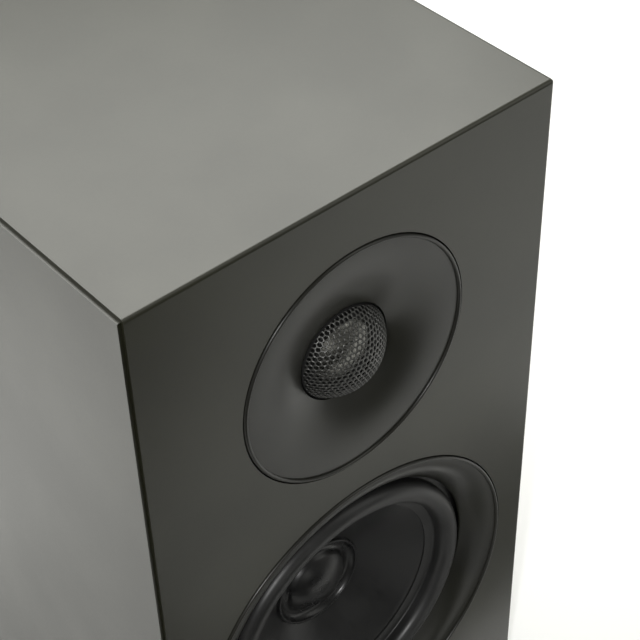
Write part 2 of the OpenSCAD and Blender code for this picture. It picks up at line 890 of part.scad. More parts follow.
// tag block behind the yoke, below the chamber
module tweeter_terminals() {
    back_z = tweeter_plate_z - 8 - tweeter_magnet_t;
    color("#b88b4a") on_front(tweeter_drop) translate([0, -28.5, back_z]) {
        translate([-8, -3, -3]) cube([16, 6, 3]);
        for (x = [-5, 2]) {
            translate([x, -1.4, -11]) cube([0.8, 2.8, 9]);
        }
    }
}

module tweeter_dome() {
    color("#d8d9da") on_front(tweeter_drop)
        dome_shell(dome_r, dome_rise, 0.3, dome_base_z);
}

// small half-round roll and its mounting ring
module tweeter_surround() {
    mid_r = 14.1;
    color("#2a2a2a") on_front(tweeter_drop) rotate_extrude() {
        intersection() {
            translate([mid_r, dome_base_z + glue_gap]) difference() {
                circle(r = 1.3, $fn = 48);
                circle(r = 0.95, $fn = 48);
            }
            translate([mid_r - 3, dome_base_z + glue_gap]) square([6, 3]);
        }
        translate([mid_r + 0.95, tweeter_plate_z]) square([2.2, -tweeter_plate_z + dome_base_z + 0.35]);
    }
}

// coil and former below the dome's edge
module tweeter_voice_coil() {
    color("#b5652a") on_front(tweeter_drop) ring(dome_r + 0.35, dome_r - 0.1, -16.6, dome_base_z);
}

front_baffle();
top_panel();
bottom_panel();
left_panel();
right_panel();
rear_panel();
window_brace();
damping_foam();
rubber_feet();
port_tube();
terminal_cup();
terminal_cup_screws();
post_studs();
post_washer_red();
post_washer_black();
post_insert_red();
post_insert_black();
post_cap_red();
post_cap_black();
post_nuts();
solder_lugs();
crossover_board();
board_standoffs();
board_screws();
woofer_inductor();
tweeter_inductor();
capacitors();
resistors();
input_cable();
woofer_cable();
tweeter_cable();
woofer_trim_ring();
woofer_basket();
woofer_gasket();
woofer_screws();
woofer_terminals();
woofer_top_plate();
woofer_magnet();
woofer_yoke();
woofer_spider();
woofer_surround();
woofer_tinsel_leads();
woofer_cone();
woofer_dust_cap();
woofer_coil_former();
woofer_voice_coil();
tweeter_waveguide();
tweeter_mesh();
tweeter_frame();
tweeter_gasket();
tweeter_screws();
tweeter_top_plate();
tweeter_magnet();
tweeter_yoke();
tweeter_rear_chamber();
tweeter_terminals();
tweeter_dome();
tweeter_surround();
tweeter_voice_coil();
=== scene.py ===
"""Bookshelf loudspeaker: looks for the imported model.

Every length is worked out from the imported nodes' boxes and from the named driving
dimensions below, which are the maker's sizes in millimetres. Drivers are turned
about their own axis: radius across, height outwards from the baffle's face.
"""
import math

import bmesh
import bpy
import numpy as np
from mathutils import Matrix, Vector


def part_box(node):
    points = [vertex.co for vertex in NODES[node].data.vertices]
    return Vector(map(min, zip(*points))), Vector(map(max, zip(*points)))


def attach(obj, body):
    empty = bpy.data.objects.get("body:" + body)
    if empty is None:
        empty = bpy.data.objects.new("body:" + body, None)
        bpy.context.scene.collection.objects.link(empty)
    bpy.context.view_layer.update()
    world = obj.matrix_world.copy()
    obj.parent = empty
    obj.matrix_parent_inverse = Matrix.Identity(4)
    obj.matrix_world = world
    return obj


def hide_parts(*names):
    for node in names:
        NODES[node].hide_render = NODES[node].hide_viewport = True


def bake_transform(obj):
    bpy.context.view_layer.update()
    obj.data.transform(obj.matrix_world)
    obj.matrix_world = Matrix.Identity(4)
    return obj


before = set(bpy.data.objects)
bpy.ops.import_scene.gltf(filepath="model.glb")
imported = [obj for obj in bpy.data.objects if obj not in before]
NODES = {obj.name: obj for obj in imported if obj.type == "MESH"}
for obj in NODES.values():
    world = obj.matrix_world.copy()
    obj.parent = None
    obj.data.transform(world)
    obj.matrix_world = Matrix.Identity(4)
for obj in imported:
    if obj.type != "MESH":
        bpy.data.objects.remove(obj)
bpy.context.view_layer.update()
MM = 0.001

# ---------------------------------------------------------------- places
CAB_LO, CAB_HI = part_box("front_baffle")
FRONT_Y = CAB_LO.y
TOP_Z = CAB_HI.z
WIDTH = CAB_HI.x - CAB_LO.x
REAR_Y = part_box("rear_panel")[1].y


def middle(name):
    lo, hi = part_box(name)
    return (lo + hi) / 2


WOOFER = Vector((0, FRONT_Y, middle("woofer_cone").z))
TWEETER = Vector((0, FRONT_Y, middle("tweeter_dome").z))
PORT = Vector((0, REAR_Y, middle("port_tube").z))
CUP = Vector((0, REAR_Y, middle("terminal_cup").z))

# ---------------------------------------------------------------- driving sizes, mm
# rings: a half-round bead on the edge, then a flared face that starts SETBACK deep
BEAD_W, BEAD_RISE, SETBACK, FLARE_POWER, RING_WALL = 1.6, 0.7, 0.25, 2.1, 2.2
TRIM_R, TRIM_LIP_R, TRIM_LIP_DEPTH, TRIM_SEAT = 76.5, 61.9, 7.9, -11.0
TRIM_SKIN, LIP_T, LIP_ROUND, TRIM_WALL_TOP = 1.8, 1.2, 0.45, -2.6
GUIDE_R, THROAT_R, THROAT_DEPTH, GUIDE_SEAT = 49.15, 19.4, 6.5, -9.0
GUIDE_SKIN, THROAT_WALL, GUIDE_WALL_TOP = 2.0, 2.0, -2.4
MESH_R, MESH_RISE, MESH_BASE = 18.6, 11.2, -6.4
MESH_PITCH, MESH_WEB, MESH_T, MESH_SIDES, HOLE_CORNER = 2.1, 0.5, 0.4, 12, 1.07
RIM_T, RIM_PLAY = 0.5, 0.2
DOME_R, DOME_RISE, DOME_BASE, FOIL_T = 12.6, 4.5, -7.5, 0.3
CLOTH_HALF, CLOTH_RISE, CLOTH_IN_HALF, CLOTH_IN_RISE = 1.5, 1.4, 1.15, 1.05
CLOTH_LIFT, CLOTH_FLANGE, CLOTH_STEP, CLOTH_SEAT, CLOTH_STRETCH = 0.05, 3.15, 0.35, -12.0, 1.2
ROLL_R, ROLL_SECTION, ROLL_BASE, ROLL_LIFT, ROLL_FLANGE = 55.0, 4.7, -10.9, 2.2, 3.5
RUBBER_T, FLANK_ROUND, GLUE_LINE = 0.6, 0.6, 0.02
CONE_RIM_R, CONE_RIM_Z, CONE_EDGE_R, CONE_EDGE_Z = 50.3, -11.65, 46.3, -12.55
CONE_SLOPE, CONE_T, NECK_R, NECK_L, NECK_T = 0.53, 0.9, 12.85, 4, 0.5
CAP_RING_R, CAP_RING_IN, CAP_RING_RISE, CAP_T = 20.9, 19.2, 1.15, 0.6
CAP_DOME_R, CAP_DOME_RISE, CAP_BASE = 14.0, 5.0, -25.4
SPIDER_R, SPIDER_Z, SPIDER_WAVE, SPIDER_HALF_T, HALF_WAVES = 39, -41.5, 1.1, 0.3, 10
SHELF_R, SHELF_Z, SPIDER_TOP = 44, -42, -41.2
PORT_R, PORT_L, PORT_FLARE, PORT_WALL, FLANGE_R, FLANGE_T = 22.0, 110.0, 12.0, 2.5, 41.0, 2.0
PORT_BORE_END, PORT_BACK, FLANGE_FLAT = -60, -15, 1.5
CUP_R, CUP_DEPTH, CUP_FLOOR, CUP_TAPER, CUP_WALL = 30.0, 25.0, 3.0, 1, 2
POST_BORE_R, POST_BODY_R, POST_COLLAR_R, POST_NOSE_R, SOCKET_R = 5.05, 5.9, 6.4, 4.8, 2.4
POST_TOP, SOCKET_FLOOR = -1.5, -4.1
RIB_COUNT, RIB_RISE, RIB_MIN_R, RIB_OUTER, RIB_INNER = 18, 0.5, 5.7, -4.4, -20.4
FOOT_R, FOOT_CHAMFER = 9.0, (0.8, 1.2)

# ---------------------------------------------------------------- shapes


def soften(loop, reach, steps=4, closed=True):
    """Rounds the corners of a polyline: each corner is replaced by the quadratic curve
    that leaves the side before it and joins the side after it, reach from the corner
    (never more than 0.45 of a side)."""
    p = np.asarray(loop, float)
    before, after = np.roll(p, 1, 0), np.roll(p, -1, 0)
    db, da = before - p, after - p
    lb, la = np.linalg.norm(db, axis=1), np.linalg.norm(da, axis=1)
    r = np.minimum(reach, 0.45 * np.minimum(lb, la))[:, None]
    a = p + db / np.maximum(lb, 1e-9)[:, None] * r
    c = p + da / np.maximum(la, 1e-9)[:, None] * r
    t = np.linspace(0, 1, steps)[None, :, None]
    out = (1 - t) ** 2 * a[:, None] + 2 * t * (1 - t) * p[:, None] + t ** 2 * c[:, None]
    out = out.reshape(-1, 2)
    if not closed:
        out = np.vstack([p[:1], out[steps:-steps], p[-1:]])
    return out


def new_mesh(name, verts, faces, sharp=40):
    """Makes an object from whole arrays, with normals pointing out of the closed shell and
    shading that stays crisp at edges sharper than the given angle in degrees."""
    mesh = bpy.data.meshes.new(name)
    mesh.from_pydata(np.asarray(verts).tolist(), [], [list(map(int, f)) for f in faces])
    bm = bmesh.new()
    bm.from_mesh(mesh)
    bmesh.ops.remove_doubles(bm, verts=bm.verts, dist=1e-7)
    bmesh.ops.dissolve_degenerate(bm, edges=bm.edges, dist=1e-8)
    bmesh.ops.recalc_face_normals(bm, faces=bm.faces)
    bm.to_mesh(mesh)
    bm.free()
    mesh.shade_smooth()
    mesh.set_sharp_from_angle(angle=math.radians(sharp))
    piece = bpy.data.objects.new(name, mesh)
    bpy.context.scene.collection.objects.link(piece)
    return piece


def turned_grid(loop, centre, out, turns, wave=None, closed=True):
    """Grid of a turned shape: the profile's (radius, height) points in mm, carried round
    the axis. A point at angle a is centre + r (cos a, sin a) + height * out. wave(angle,
    radius, height) adds to the radius. Returns points and quads as whole arrays."""
    p = np.asarray(loop, float)
    n = len(p)
    a = np.linspace(0, 2 * np.pi, turns, endpoint=False)
    r = np.repeat(p[:, 0][None], turns, 0)
    if wave is not None:
        r = r + wave(a[:, None], p[None, :, 0], p[None, :, 1])
    x = r * np.cos(a)[:, None]
    z = r * np.sin(a)[:, None]
    y = np.repeat(p[:, 1][None], turns, 0) * out
    v = np.stack([x, y, z], -1).reshape(-1, 3) * MM + np.array(centre)
    i, j = np.meshgrid(np.arange(turns), np.arange(n if closed else n - 1), indexing="ij")
    i2, j2 = (i + 1) % turns, (j + 1) % n
    f = np.stack([i * n + j, i2 * n + j, i2 * n + j2, i * n + j2], -1).reshape(-1, 4)
    return v, f


def turned(name, loop, centre, out=-1, turns=192, wave=None, sharp=40, closed=True):
    """One turned piece; the profile is a closed loop, or starts and ends on the axis."""
    v, f = turned_grid(loop, centre, out, turns, wave, closed)
    return new_mesh(name, v, f, sharp)


def flare(r0, r1, depth, steps):
    """Front of a flared ring: from the rim at r0 inwards, the depth grows as a power of the
    way across, so it is flat at the rim and steep at the lip."""
    s = np.linspace(0, 1, steps)
    down = -SETBACK - (depth - SETBACK) * s ** FLARE_POWER
    return np.stack([r0 - (r0 - r1) * s, down], 1)


def bead(r):
    """Half-round bead on a ring's outer edge, from its inner foot over to its outer foot."""
    a = np.radians(np.linspace(180, 0, 13))
    return np.stack([r - BEAD_W / 2 + BEAD_W / 2 * np.cos(a),
                     -SETBACK + (BEAD_RISE + SETBACK) * np.sin(a)], 1)


def skirt(r, seat, top):
    """Outer wall of a ring, down to its seat and back up to the underside of its face."""
    return np.array([[r, seat], [r - RING_WALL, seat], [r - RING_WALL, top]])


def cap_arc(r, rise, base, steps):
    """Spherical cap as a profile from the axis out to its rim."""
    ball = (r * r + rise * rise) / (2 * rise)
    q = np.linspace(0.0, r, steps)
    return np.stack([q, base + np.sqrt(ball ** 2 - q ** 2) - (ball - rise)], 1)


def radial_blend(piece):
    """Bakes a roll or corrugation's placement into its mesh and reads its points; it sets no
    share of the moving body, so the piece does not stretch between the fixed frame and the
    moving body."""
    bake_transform(piece)
    co = np.empty(len(piece.data.vertices) * 3, np.float32)
    piece.data.vertices.foreach_get("co", co)
    co = co.reshape(-1, 3)


# ---------------------------------------------------------------- materials


def linear(code):
    """sRGB hex colour to linear."""
    v = np.array([int(code[i:i + 2], 16) for i in (1, 3, 5)]) / 255
    v = np.where(v <= 0.04045, v / 12.92, ((v + 0.055) / 1.055) ** 2.4)
    return (*v.tolist(), 1.0)


def node(tree, kind, links=None, **settings):
    """Adds one shader node; links maps its inputs to values or to other nodes' outputs."""
    n = tree.nodes.new(kind)
    for key, value in settings.items():
        setattr(n, key, value)
    for key, value in (links or {}).items():
        if isinstance(value, bpy.types.NodeSocket):
            tree.links.new(value, n.inputs[key])
        else:
            n.inputs[key].default_value = value
    return n


def new_material(name):
    m = bpy.data.materials.new(name)
    m.use_nodes = True
    m.node_tree.nodes.clear()
    return m, m.node_tree


CLOUD_EDGES = 0.35, 0.65      # noise values where one colour ends and the other begins
GRAIN_EDGES = 0.3, 0.7        # the same for the fine grain, which shifts the mix by
GRAIN_SHARE = 0.25            # up to this much


def finish(name, colour, second, cloud_mm, grain_mm, rough, relief_mm, metallic=0.0,
           stretch=(1, 1, 1), detail=4.0, sheen=0.0, extra=None, centre=None, streak=0.0):
    """A surface from its real traits: two close colours mixed in clouds of cloud_mm, gloss
    that varies with them, and a relief of grain_mm across and relief_mm high. streak turns
    the grain into radial fibres round centre. extra(tree, where, colour, height) may add
    marks."""
    m, t = new_material(name)
    where = node(t, "ShaderNodeTexCoord")
    place = node(t, "ShaderNodeMapping", {
        "Vector": where.outputs["Object"], "Scale": stretch,
        "Location": tuple(-c for c in centre) if centre else (0, 0, 0)})
    at = at_grain = place.outputs["Vector"]
    if streak:
        flat = node(t, "ShaderNodeVectorMath", {0: at, 1: (1, 0, 1)}, operation="MULTIPLY")
        turn = node(t, "ShaderNodeVectorMath", {0: flat.outputs[0]}, operation="NORMALIZE")
        wide = node(t, "ShaderNodeVectorMath", {0: turn.outputs[0], "Scale": streak * MM},
                    operation="SCALE")
        slow = node(t, "ShaderNodeVectorMath", {0: flat.outputs[0], "Scale": 0.12},
                    operation="SCALE")
        at_grain = node(t, "ShaderNodeVectorMath", {0: wide.outputs[0], 1: slow.outputs[0]},
                        operation="ADD").outputs[0]
    cloud = node(t, "ShaderNodeTexNoise", {"Vector": at, "Scale": 1 / (cloud_mm * MM),
                 "Detail": 5.0, "Roughness": 0.55})
    grain = node(t, "ShaderNodeTexNoise", {"Vector": at_grain, "Scale": 1 / (grain_mm * MM),
                 "Detail": detail, "Roughness": 0.6})
    mix_to = node(t, "ShaderNodeMapRange", {"Value": cloud.outputs["Fac"],
                  "From Min": CLOUD_EDGES[0], "From Max": CLOUD_EDGES[1]})
    fleck = node(t, "ShaderNodeMapRange", {
        "Value": grain.outputs["Fac"], "From Min": GRAIN_EDGES[0], "From Max": GRAIN_EDGES[1],
        "To Min": -GRAIN_SHARE, "To Max": GRAIN_SHARE})
    both = node(t, "ShaderNodeMath", {0: mix_to.outputs[0], 1: fleck.outputs[0]},
                operation="ADD", use_clamp=True)
    tint = node(t, "ShaderNodeMix", {"Factor": both.outputs[0]}, data_type="RGBA")
    ends = [s for s in tint.inputs if s.type == "RGBA"]
    ends[0].default_value, ends[1].default_value = linear(colour), linear(second)
    gloss = node(t, "ShaderNodeMapRange", {"Value": both.outputs[0], "To Min": rough[0],
                 "To Max": rough[1]})
    paint = tint.outputs[2]
    height = grain.outputs["Fac"]
    if extra:
        paint, height = extra(t, where.outputs["Object"], paint, height)
    bump = node(t, "ShaderNodeBump", {"Height": height, "Distance": relief_mm * MM,
                "Strength": 1.0})
    s = node(t, "ShaderNodeBsdfPrincipled", {
        "Base Color": paint, "Metallic": metallic, "Roughness": gloss.outputs[0],
        "Normal": bump.outputs[0], "Sheen Weight": sheen})
    node(t, "ShaderNodeOutputMaterial", {"Surface": s.outputs[0]})
    return m


def dust(t, where, paint, height):
    """A few pale specks of dust: points of a cell pattern 14 mm apart, kept where a second
    random value is high, each about a quarter of a millimetre across."""
    cells = node(t, "ShaderNodeTexVoronoi", {"Vector": where, "Scale": 1 / (14 * MM)})
    near = node(t, "ShaderNodeMapRange", {"Value": cells.outputs["Distance"],
                "From Min": 0.016, "From Max": 0.008})
    pick = node(t, "ShaderNodeSeparateColor", {"Color": cells.outputs["Color"]})
    rare = node(t, "ShaderNodeMath", {0: pick.outputs[0], 1: 0.72}, operation="GREATER_THAN")
    here = node(t, "ShaderNodeMath", {0: near.outputs[0], 1: rare.outputs[0]},
                operation="MULTIPLY")
    lit = node(t, "ShaderNodeMix", {"Factor": here.outputs[0]}, data_type="RGBA")
    colours = [s for s in lit.inputs if s.type == "RGBA"]
    t.links.new(paint, colours[0])
    colours[1].default_value = linear("#a5a59d")
    return lit.outputs[2], height


# sprayed acrylic lacquer over filled fibreboard: olive-grey, satin, a faint orange peel
LACQUER = finish("satin_lacquer", "#26261a", "#212117", 60, 1.1, (0.28, 0.32), 0.002,
                 extra=dust)
# injection-moulded ABS with a fine spark-eroded grain: black, satin, slightly warm
ABS = finish("satin_moulded_abs", "#20201a", "#1b1b17", 30, 0.5, (0.29, 0.34), 0.002,
             extra=dust)
# butyl rubber, press-moulded: black with a soft sheen and a faint bloom
BUTYL = finish("butyl_rubber", "#202020", "#282828", 12, 0.7, (0.36, 0.44), 0.006)
# coated paper pulp: black satin with fine fibres lying across the cone
PULP = finish("coated_pulp", "#0f0f10", "#171717", 18, 0.8, (0.32, 0.40), 0.012,
              centre=WOOFER, streak=46, detail=3.0)
PULP_CAP = finish("coated_pulp_cap", "#0f0f10", "#161616", 10, 0.6, (0.26, 0.34), 0.006)
# punched steel, black-nickel coated: dark grey metal with a soft shine
MESH_STEEL = finish("punched_steel", "#6b6b69", "#575755", 6, 0.5, (0.28, 0.4), 0.003,
                    metallic=0.85)
# pressed aluminium foil, bare: bright and slightly scratched
FOIL = finish("pressed_aluminium", "#b4b3ae", "#a09f9a", 2.5, 0.4, (0.24, 0.32), 0.003,
              metallic=1.0)
TREATED_CLOTH = finish("treated_cloth", "#191919", "#222222", 4, 0.4, (0.5, 0.65), 0.02)
# moulded glass-filled plastic on the rear: black, matt, grained
GRAINED = finish("grained_moulded_plastic", "#1b1b1b", "#232323", 20, 0.8, (0.5, 0.6), 0.03)
GLOSS_RED = finish("gloss_red_abs", "#9c1620", "#8c121b", 6, 0.5, (0.22, 0.3), 0.002)
GLOSS_BLACK = finish("gloss_black_abs", "#141414", "#1a1a1a", 6, 0.5, (0.22, 0.3), 0.002)
GOLD = finish("gold_plated_brass", "#d9b060", "#c79a48", 3, 0.3, (0.18, 0.28), 0.001,
              metallic=1.0)
BLACK_ZINC = finish("black_zinc_steel", "#2e2e30", "#242426", 2, 0.3, (0.35, 0.5), 0.002,
                    metallic=0.9)
RUBBER = finish("moulded_rubber", "#191919", "#222221", 5, 0.5, (0.6, 0.75), 0.03)
BOARD = finish("bare_fibreboard", "#a98d66", "#97794f", 8, 0.6, (0.8, 0.95), 0.05)
FELT = finish("felted_polyester", "#3a3c41", "#4a4c50", 3, 0.3, (0.9, 1.0), 0.4, sheen=0.3)
ZINC = finish("zinc_plated_steel", "#a9acb0", "#8e9195", 8, 0.4, (0.3, 0.42), 0.004,
              metallic=1.0)
FERRITE = finish("sintered_ferrite", "#35363a", "#2b2c30", 5, 0.5, (0.55, 0.7), 0.01)
POWDER = finish("powder_coated_steel", "#232426", "#2b2c2e", 8, 0.6, (0.5, 0.6), 0.02)
COPPER = finish("enamelled_copper", "#b0602c", "#8f4a20", 2, 0.35, (0.25, 0.35), 0.05,
                metallic=0.9, stretch=(0.2, 0.2, 3))
SPIDER_CLOTH = finish("resin_treated_cloth", "#c09a55", "#a78344", 3, 0.4, (0.7, 0.85), 0.05)
CIRCUIT = finish("glass_fibre_board", "#1d5a37", "#184c2e", 6, 0.4, (0.35, 0.5), 0.004)
NYLON = finish("natural_nylon", "#d8d2c3", "#cbc4b3", 5, 0.5, (0.4, 0.5), 0.004)
FILM_WRAP = finish("polyester_film_wrap", "#c5ae72", "#b79f62", 6, 0.5, (0.2, 0.3), 0.004)
CEMENT = finish("white_cement_case", "#dcd8cc", "#cdc8ba", 4, 0.4, (0.8, 0.95), 0.05)
JACKET = finish("pvc_cable_jacket", "#1f1f21", "#28282a", 5, 0.4, (0.4, 0.5), 0.004)
TINNED = finish("tinned_brass", "#c3c3bb", "#aeaea6", 3, 0.3, (0.3, 0.4), 0.002, metallic=1.0)
BRAID = finish("braided_copper", "#a5713f", "#7f5128", 0.8, 0.25, (0.35, 0.5), 0.1,
               metallic=0.9)
FOAM = finish("closed_cell_foam", "#141414", "#1c1c1c", 1.5, 0.3, (0.85, 0.95), 0.05)


def dress(piece, material):
    piece.data.materials.clear()
    piece.data.materials.append(material)
    return piece


FINISHES = {
    LACQUER: "front_baffle top_panel bottom_panel left_panel right_panel rear_panel",
    BOARD: "window_brace", FELT: "damping_foam",
    BLACK_ZINC: "terminal_cup_screws woofer_screws tweeter_screws",
    GOLD: "post_studs post_insert_red post_insert_black post_nuts",
    GLOSS_RED: "post_washer_red", GLOSS_BLACK: "post_washer_black",
    TINNED: "solder_lugs woofer_terminals tweeter_terminals",
    CIRCUIT: "crossover_board", NYLON: "board_standoffs",
    COPPER: "woofer_inductor tweeter_inductor woofer_voice_coil tweeter_voice_coil",
    FILM_WRAP: "capacitors", CEMENT: "resistors",
    JACKET: "input_cable woofer_cable tweeter_cable",
    POWDER: "woofer_basket", FOAM: "woofer_gasket tweeter_gasket",
    ZINC: "board_screws woofer_top_plate woofer_yoke tweeter_top_plate tweeter_yoke",
    FERRITE: "woofer_magnet tweeter_magnet", SPIDER_CLOTH: "woofer_coil_former",
    BRAID: "woofer_tinsel_leads", GRAINED: "tweeter_frame tweeter_rear_chamber",
}
for material, names in FINISHES.items():
    for name in names.split():
        dress(NODES[name], material)


def fit(piece, material, body, *replaced):
    """Gives a piece its finish and body, and lets it stand for its CAD nodes."""
    dress(piece, material)
    if body:
        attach(piece, body)
    if replaced:
        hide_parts(*replaced)
    return piece


# ---------------------------------------------------------------- woofer
trim_face = flare(TRIM_R - BEAD_W, TRIM_LIP_R, TRIM_LIP_DEPTH, 40)
trim_back = trim_face[8:-1] + [LIP_T, -TRIM_SKIN]
trim_lip = np.array([[TRIM_LIP_R + LIP_T, -TRIM_LIP_DEPTH - LIP_T],
                     [TRIM_LIP_R, -TRIM_LIP_DEPTH - LIP_ROUND]])
trim_loop = np.vstack([bead(TRIM_R), skirt(TRIM_R, TRIM_SEAT, TRIM_WALL_TOP), trim_back,
                       trim_lip, trim_face[::-1][:-1]])
trim = turned("woofer_trim", trim_loop, WOOFER, turns=256)
fit(trim, ABS, "cabinet", "woofer_trim_ring")


# surround: half-round crest on straight flanks, inner flank's foot glued to the cone's edge,
# outer foot to a flat flange under the trim ring; the lower face runs RUBBER_T inside
def arch(section):
    """Crest from its inner side over to its outer side: ROLL_R + section cos a across,
    section sin a up from the top of the flanks."""
    a = np.radians(np.linspace(180, 0, 33))
    return np.stack([ROLL_R + section * np.cos(a),
                     ROLL_BASE + ROLL_LIFT + section * np.sin(a)], 1)


roll_in, roll_out = ROLL_R - ROLL_SECTION, ROLL_R + ROLL_SECTION
glued_foot = [CONE_EDGE_R, CONE_EDGE_Z + RUBBER_T]
flank = soften([glued_foot, [roll_in, ROLL_BASE], arch(ROLL_SECTION)[0]], FLANK_ROUND,
               closed=False)
flange = [[roll_out, ROLL_BASE], [roll_out + ROLL_FLANGE, ROLL_BASE],
          [roll_out + ROLL_FLANGE, ROLL_BASE - RUBBER_T],
          [roll_out - RUBBER_T, ROLL_BASE - RUBBER_T]]
roll_loop = np.vstack([
    [glued_foot], flank[1:-1], arch(ROLL_SECTION), flange,
    arch(ROLL_SECTION - RUBBER_T)[::-1],
    [[roll_in + RUBBER_T, ROLL_BASE - RUBBER_T], [CONE_EDGE_R, CONE_EDGE_Z + GLUE_LINE]]])
surround = turned("woofer_roll", roll_loop, WOOFER, turns=256, sharp=50)
dress(surround, BUTYL)
radial_blend(surround)
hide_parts("woofer_surround")


def cone_z(r):
    """Height of the cone's front face: a straight slope from its edge."""
    return CONE_EDGE_Z - CONE_SLOPE * (CONE_EDGE_R - np.asarray(r, float))


slope_r = np.linspace(CONE_EDGE_R, NECK_R, 24)
back_r = slope_r[::-1][1:]
neck_end = cone_z(NECK_R) - NECK_L
cone_loop = np.vstack([
    [[CONE_RIM_R, CONE_RIM_Z]], np.stack([slope_r, cone_z(slope_r)], 1),
    [[NECK_R, neck_end], [NECK_R + NECK_T, neck_end]],
    np.stack([back_r, cone_z(back_r) - CONE_T], 1), [[CONE_RIM_R, CONE_RIM_Z - CONE_T]]])
fit(turned("woofer_cone_body", cone_loop, WOOFER, turns=256), PULP, "woofer_diaphragm",
    "woofer_cone")

# dust cap: a shallow dome, a gutter round it and a raised glued ring on the cone
ring_foot = cone_z(CAP_RING_R)
ring_top = ring_foot + CAP_RING_RISE
cap_dome = cap_arc(CAP_DOME_R, CAP_DOME_RISE, CAP_BASE, 20)
gutter = np.array([[14.5, -26.4], [15.3, -27.2], [16.6, -27.6], [18.0, -27.3], [18.8, -26.7],
                   [19.2, -26.0]])
cap_ring = soften([[CAP_RING_IN + 0.2, ring_foot + 0.2], [CAP_RING_IN + 0.45, ring_top],
                   [CAP_RING_R - 0.35, ring_top], [CAP_RING_R, ring_foot + GLUE_LINE]], 0.22,
                  closed=False)
cap_inside = (np.vstack([cap_dome, gutter, cap_ring[:1]]) - [0, CAP_T])[::-1]
cap_loop = np.vstack([cap_dome, gutter, cap_ring, [[CAP_RING_IN, cone_z(CAP_RING_IN)]],
                      cap_inside])
fit(turned("woofer_cap", cap_loop, WOOFER, turns=192, closed=False), PULP_CAP,
    "woofer_diaphragm", "woofer_dust_cap")

# ---------------------------------------------------------------- tweeter
guide_face = flare(GUIDE_R - BEAD_W, THROAT_R, THROAT_DEPTH, 56)
guide_back = guide_face[8:-6] + [0, -GUIDE_SKIN]
throat = np.array([[THROAT_R + THROAT_WALL, GUIDE_SEAT], [THROAT_R, GUIDE_SEAT]])
guide_loop = np.vstack([bead(GUIDE_R), skirt(GUIDE_R, GUIDE_SEAT, GUIDE_WALL_TOP), guide_back,
                        throat, guide_face[::-1][:-1]])
fit(turned("tweeter_horn", guide_loop, TWEETER, turns=256), ABS, "cabinet",
    "tweeter_waveguide")


def perforated_dome(name):
    """Hexagonal cells on a flat sheet, pitch MESH_PITCH. Each cell is a ring of MESH_SIDES
    quads between its outline and its hole. The sheet is then wrapped on the dome: distance
    from the middle becomes arc length on the ball. What lies past the rim is pulled back to
    it."""
    pitch, hole = MESH_PITCH, (MESH_PITCH - MESH_WEB) / 2
    ball = (MESH_R ** 2 + MESH_RISE ** 2) / (2 * MESH_RISE)
    reach = ball * math.asin(MESH_R / ball)
    k = int(reach / pitch) + 3
    i, j = np.meshgrid(np.arange(-2 * k, 2 * k + 1), np.arange(-k, k + 1), indexing="ij")
    cells = np.stack([(i + 0.5 * j) * pitch, j * pitch * math.sqrt(3) / 2], -1).reshape(-1, 2)
    cells = cells[np.hypot(cells[:, 0], cells[:, 1]) < reach + 0.35 * pitch]
    n = np.arange(MESH_SIDES)
    a = n * np.pi / 6
    outer_r = np.where(n % 2 == 0, pitch / 2, pitch / math.sqrt(3))
    inner_r = np.where(n % 2 == 0, hole, hole * HOLE_CORNER)
    d = np.stack([np.cos(a), np.sin(a)], -1)
    outer = cells[:, None] + d[None] * outer_r[None, :, None]
    inner = cells[:, None] + d[None] * inner_r[None, :, None]
    flat = np.concatenate([outer, inner], 1).reshape(-1, 2)
    n2 = (n + 1) % MESH_SIDES
    quad = np.stack([n, n2, MESH_SIDES + n2, MESH_SIDES + n], -1)
    f = (np.arange(len(cells)) * 2 * MESH_SIDES)[:, None, None] + quad[None]
    f = f.reshape(-1, 4)
    s = np.hypot(flat[:, 0], flat[:, 1])
    f = f[(s[f] < reach - 1e-6).any(1)]
    arc = np.minimum(s, reach)
    u = flat / np.maximum(s, 1e-9)[:, None]
    r = ball * np.sin(arc / ball)
    h = MESH_BASE + ball * np.cos(arc / ball) - (ball - MESH_RISE)
    v = np.stack([u[:, 0] * r, -h, u[:, 1] * r], -1) * MM + np.array(TWEETER)
    mesh = bpy.data.meshes.new(name)
    mesh.from_pydata(v.tolist(), [], f.tolist())
    bm = bmesh.new()
    bm.from_mesh(mesh)
    bmesh.ops.remove_doubles(bm, verts=bm.verts, dist=2e-6)
    bmesh.ops.dissolve_degenerate(bm, edges=bm.edges, dist=1e-6)
    loose = [x for x in bm.verts if not x.link_faces]
    bmesh.ops.delete(bm, geom=loose, context="VERTS")
    bmesh.ops.recalc_face_normals(bm, faces=bm.faces)
    if sum(x.normal.y for x in bm.faces) > 0:
        bmesh.ops.reverse_faces(bm, faces=bm.faces)
    bm.to_mesh(mesh)
    bm.free()
    piece = bpy.data.objects.new(name, mesh)
    bpy.context.scene.collection.objects.link(piece)
    mesh.shade_smooth()
    wall = piece.modifiers.new("wall", "SOLIDIFY")
    wall.thickness = MESH_T * MM
    wall.offset = -1
    return piece


fit(perforated_dome("tweeter_perforated_cap"), MESH_STEEL, "cabinet", "tweeter_mesh")
rim_r, rim_in = THROAT_R - RIM_PLAY, MESH_R - RIM_T
rim_loop = soften([[MESH_R, MESH_BASE + 0.25], [MESH_R, GUIDE_SEAT + RIM_T],
                   [rim_r, GUIDE_SEAT + RIM_T], [rim_r, GUIDE_SEAT],
                   [rim_in, GUIDE_SEAT], [rim_in, MESH_BASE + 0.1]], 0.15)
fit(turned("tweeter_cap_rim", rim_loop, TWEETER, turns=128), FOAM, "cabinet")

foil = cap_arc(DOME_R, DOME_RISE, DOME_BASE, 24)
foil_loop = np.vstack([foil, (foil - [0, FOIL_T])[::-1]])
fit(turned("tweeter_foil_dome", foil_loop, TWEETER, turns=128, closed=False), FOIL,
    "tweeter_diaphragm", "tweeter_dome")

